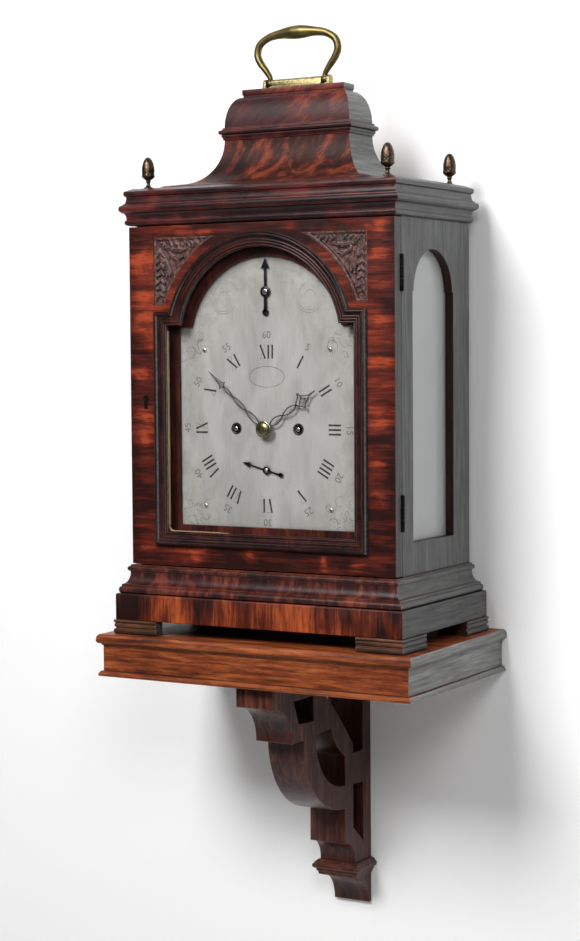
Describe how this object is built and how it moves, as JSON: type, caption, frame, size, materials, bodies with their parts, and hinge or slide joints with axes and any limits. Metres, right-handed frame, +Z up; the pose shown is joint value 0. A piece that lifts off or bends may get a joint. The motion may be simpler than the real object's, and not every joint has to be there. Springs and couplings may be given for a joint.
{
  "type": "bracket clock on wall bracket",
  "caption": "Bell-top mahogany table clock with break-arch glazed door, fusee movement and carrying handle, standing on its own fretted wall bracket.",
  "frame": {"origin": "on the wall plane, on the centre line, halfway up the back of the wall bracket's frieze", "axes": "+Z up, +Y into the wall, so the dial faces -Y; +X to the right seen from the front"},
  "size_m": [0.322, 0.197, 0.8218],
  "materials": {
    "mahogany": "polished flame veneer",
    "dark_mahogany": "polished, worn to a soft shine",
    "shelf_wood": "waxed",
    "corbel_wood": "waxed",
    "carcass_wood": "unpolished",
    "glass": "clear old sheet glass",
    "brass": "aged",
    "dark_brass": "dark patina",
    "bell_metal": "turned",
    "steel": "blued dark",
    "silvered_brass": "silvered and toned"
  },
  "bodies": {
    "wall_bracket": {"shelf_board": "shelf_wood", "shelf_frieze": "shelf_wood", "shelf_soffit": "shelf_wood", "corbel": "corbel_wood", "corbel_moulding": "corbel_wood"},
    "clock_case": {"case_side_left": "mahogany", "case_side_right": "mahogany", "case_floor": "carcass_wood", "case_top_board": "carcass_wood", "plinth": "mahogany", "base_moulding": "dark_mahogany", "foot_front_left": "mahogany", "foot_front_right": "mahogany", "foot_rear_left": "mahogany", "foot_rear_right": "mahogany", "finial_front_left": "dark_brass", "finial_front_right": "dark_brass", "finial_rear_left": "dark_brass", "finial_rear_right": "dark_brass", "cornice": "dark_mahogany", "bell_cove": "mahogany", "bell_waist_moulding": "dark_mahogany", "bell_dome": "mahogany", "cap_block": "dark_mahogany", "handle_plate": "brass", "side_glass_left": "glass", "side_glass_right": "glass", "dial_mask": "carcass_wood", "dial_plate": "silvered_brass", "case_hinge_upper": "dark_brass", "case_hinge_lower": "dark_brass", "movement_front_plate": "brass", "movement_back_plate": "brass", "strike_bell": "bell_metal"},
    "handle": {"carrying_handle": "brass"},
    "front_door": {"door_frame": "mahogany", "door_moulding": "dark_mahogany", "spandrel_left": "dark_mahogany", "spandrel_right": "dark_mahogany", "door_glass": "glass", "door_lock": "dark_brass", "door_hinge_upper": "dark_brass", "door_hinge_lower": "dark_brass"},
    "rear_door": {"rear_door_frame": "mahogany", "rear_door_glass": "glass"},
    "centre_arbor": {"centre_wheel": "brass", "minute_hand": "steel", "hand_collet": "brass"},
    "hour_pipe": {"hour_hand": "steel"},
    "going_fusee_arbor": {"going_fusee": "brass"},
    "going_barrel_arbor": {"going_barrel": "brass"},
    "third_arbor": {"third_wheel": "brass"},
    "escape_arbor": {"escape_wheel": "brass"},
    "strike_fusee_arbor": {"strike_fusee": "brass"},
    "strike_barrel_arbor": {"strike_barrel": "brass"},
    "pendulum_body": {"pendulum": "brass"},
    "pallet_body": {"pallet_arbor": "steel"},
    "hammer_body": {"strike_hammer": "steel"},
    "strike_silent_arbor": {"strike_silent_hand": "steel"},
    "date_arbor": {"date_hand": "steel"}
  },
  "joints": [
    {"name": "clock_lift", "type": "slide", "parent": "wall_bracket", "child": "clock_case", "axis": [0, 0, 1], "range_m": [0, 0.1]},
    {"name": "handle_swing", "type": "hinge", "parent": "clock_case", "child": "handle", "pos_m": [0, -0.099, 0.5217], "axis": [1, 0, 0], "range_deg": [-98, 98]},
    {"name": "front_door_hinge", "type": "hinge", "parent": "clock_case", "child": "front_door", "pos_m": [0.1352, -0.16085, 0.235], "axis": [0, 0, 1], "range_deg": [0, 120]},
    {"name": "rear_door_hinge", "type": "hinge", "parent": "clock_case", "child": "rear_door", "pos_m": [-0.1147, -0.031, 0.235], "axis": [0, 0, 1], "range_deg": [0, 90]},
    {"name": "centre_spin", "type": "hinge", "parent": "clock_case", "child": "centre_arbor", "pos_m": [0, -0.12, 0.2104], "axis": [0, 1, 0], "continuous": true},
    {"name": "hour_spin", "type": "hinge", "parent": "clock_case", "child": "hour_pipe", "pos_m": [0, -0.155, 0.2104], "axis": [0, 1, 0], "continuous": true},
    {"name": "going_fusee_spin", "type": "hinge", "parent": "clock_case", "child": "going_fusee_arbor", "pos_m": [0.0318, -0.12, 0.2104], "axis": [0, 1, 0], "continuous": true},
    {"name": "going_barrel_spin", "type": "hinge", "parent": "clock_case", "child": "going_barrel_arbor", "pos_m": [0.035, -0.12, 0.1524], "axis": [0, 1, 0], "continuous": true},
    {"name": "third_spin", "type": "hinge", "parent": "clock_case", "child": "third_arbor", "pos_m": [0, -0.12, 0.2346], "axis": [0, 1, 0], "continuous": true},
    {"name": "escape_spin", "type": "hinge", "parent": "clock_case", "child": "escape_arbor", "pos_m": [0, -0.12, 0.25275], "axis": [0, 1, 0], "continuous": true},
    {"name": "strike_fusee_spin", "type": "hinge", "parent": "clock_case", "child": "strike_fusee_arbor", "pos_m": [-0.0318, -0.12, 0.2104], "axis": [0, 1, 0], "continuous": true},
    {"name": "strike_barrel_spin", "type": "hinge", "parent": "clock_case", "child": "strike_barrel_arbor", "pos_m": [-0.035, -0.12, 0.1524], "axis": [0, 1, 0], "continuous": true},
    {"name": "pendulum_swing", "type": "hinge", "parent": "clock_case", "child": "pendulum_body", "pos_m": [0, -0.0765, 0.2784], "axis": [0, 1, 0], "range_deg": [-5, 5]},
    {"name": "pallet_rock", "type": "hinge", "parent": "clock_case", "child": "pallet_body", "pos_m": [0, -0.11, 0.2784], "axis": [0, 1, 0], "range_deg": [-5, 5]},
    {"name": "hammer_swing", "type": "hinge", "parent": "clock_case", "child": "hammer_body", "pos_m": [-0.054, -0.11605, 0.2684], "axis": [0, 1, 0], "range_deg": [-18, 2]},
    {"name": "strike_silent_turn", "type": "hinge", "parent": "clock_case", "child": "strike_silent_arbor", "pos_m": [0, -0.158, 0.3316], "axis": [0, 1, 0], "range_deg": [-45, 45]},
    {"name": "date_spin", "type": "hinge", "parent": "clock_case", "child": "date_arbor", "pos_m": [0, -0.158, 0.1738], "axis": [0, 1, 0], "continuous": true}
  ],
  "couplings": [
    {"joint": "hour_spin", "follows": "centre_spin", "ratio": 0.083333},
    {"joint": "going_fusee_spin", "follows": "centre_spin", "ratio": -0.083333},
    {"joint": "going_barrel_spin", "follows": "centre_spin", "ratio": -0.0513},
    {"joint": "third_spin", "follows": "centre_spin", "ratio": -12},
    {"joint": "escape_spin", "follows": "centre_spin", "ratio": 120},
    {"joint": "strike_barrel_spin", "follows": "strike_fusee_spin", "ratio": 0.615},
    {"joint": "pallet_rock", "follows": "pendulum_swing", "ratio": 1}
  ]
}
